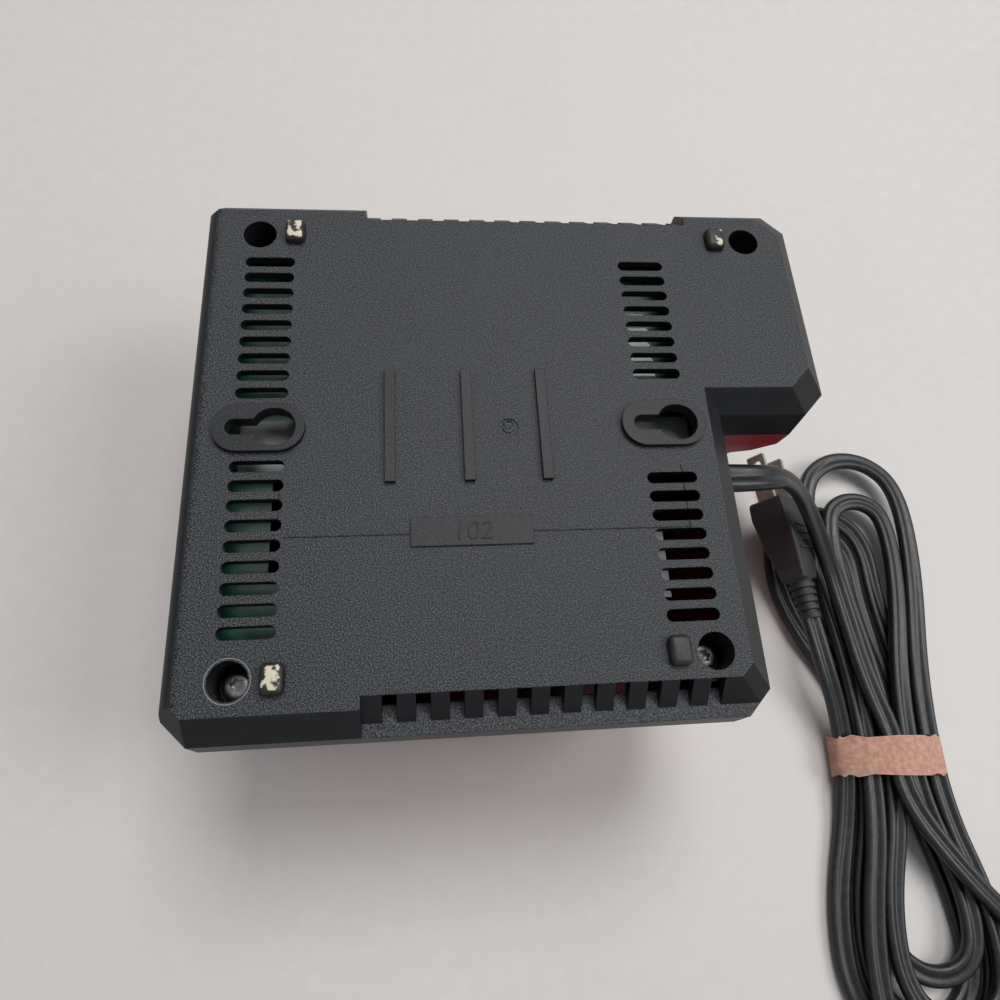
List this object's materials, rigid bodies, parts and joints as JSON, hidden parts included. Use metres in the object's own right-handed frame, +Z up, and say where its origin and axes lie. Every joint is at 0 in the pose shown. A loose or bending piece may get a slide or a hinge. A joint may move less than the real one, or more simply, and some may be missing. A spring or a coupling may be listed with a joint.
{
  "type": "power tool battery charger",
  "caption": "Dual battery charger lying on its top: vented base with keyholes, feet and grilles, hood, slide dock, stem socket and a tied mains cord.",
  "frame": {"origin": "bottom centre of the charger's bounding box without its free cord, on the surface that the dock rails lie on: the charger lies on its top with its underside up, as pictured", "axes": "+X along the long side towards the mains cord and the side block, +Z up out of the underside, +Y away from the viewer of the picture"},
  "size_m": [0.2388, 0.2537, 0.0825],
  "materials": {
    "black_plastic": "fine moulded grain",
    "red_plastic": "satin",
    "foot_rubber": "matte, worn tips",
    "cord_black": "satin",
    "tie_paper": "brown paper band",
    "steel": "black oxide",
    "terminal_metal": "plated",
    "board_green": "solder mask",
    "pale_sheet": "insulating sheet",
    "ferrite": "sintered",
    "winding_tape": "polyester tape",
    "winding_copper": "enamelled wire",
    "can_sleeve": "sleeved can",
    "film_box": "potted box",
    "fuse_glass": "glass tube",
    "chip_black": "epoxy",
    "aluminium": "plain",
    "lens_clear": "clear",
    "lead_wire": "insulated wire"
  },
  "bodies": {
    "root": {"lower_housing": "black_plastic", "upper_housing": "red_plastic", "slide_dock": "black_plastic", "pack_terminal_block": "black_plastic", "pack_terminals": "terminal_metal", "stem_socket": "black_plastic", "stem_contacts": "terminal_metal", "stem_contact_board": "board_green", "main_circuit_board": "board_green", "insulation_sheet": "pale_sheet", "board_screws": "steel", "housing_screws": "steel", "rubber_feet": "foot_rubber", "transformer_core": "ferrite", "transformer_winding": "winding_tape", "bulk_capacitors": "can_sleeve", "line_choke": "winding_copper", "film_capacitor": "film_box", "line_fuse": "fuse_glass", "bridge_rectifier": "chip_black", "heat_sink": "aluminium", "power_transistors": "chip_black", "output_capacitors": "can_sleeve", "control_board": "board_green", "output_relay": "film_box", "indicator_leds": "lens_clear", "indicator_light_pipes": "lens_clear", "dock_leads": "lead_wire", "stem_leads": "lead_wire", "mains_leads": "lead_wire", "cord_grommet": "cord_black", "mains_cord": "cord_black", "cord_tail": "cord_black", "cord_hank": "cord_black", "plug_lead": "cord_black", "cord_tie": "tie_paper", "mains_plug": "cord_black", "plug_sleeve": "cord_black", "plug_blades": "terminal_metal"}
  },
  "joints": []
}
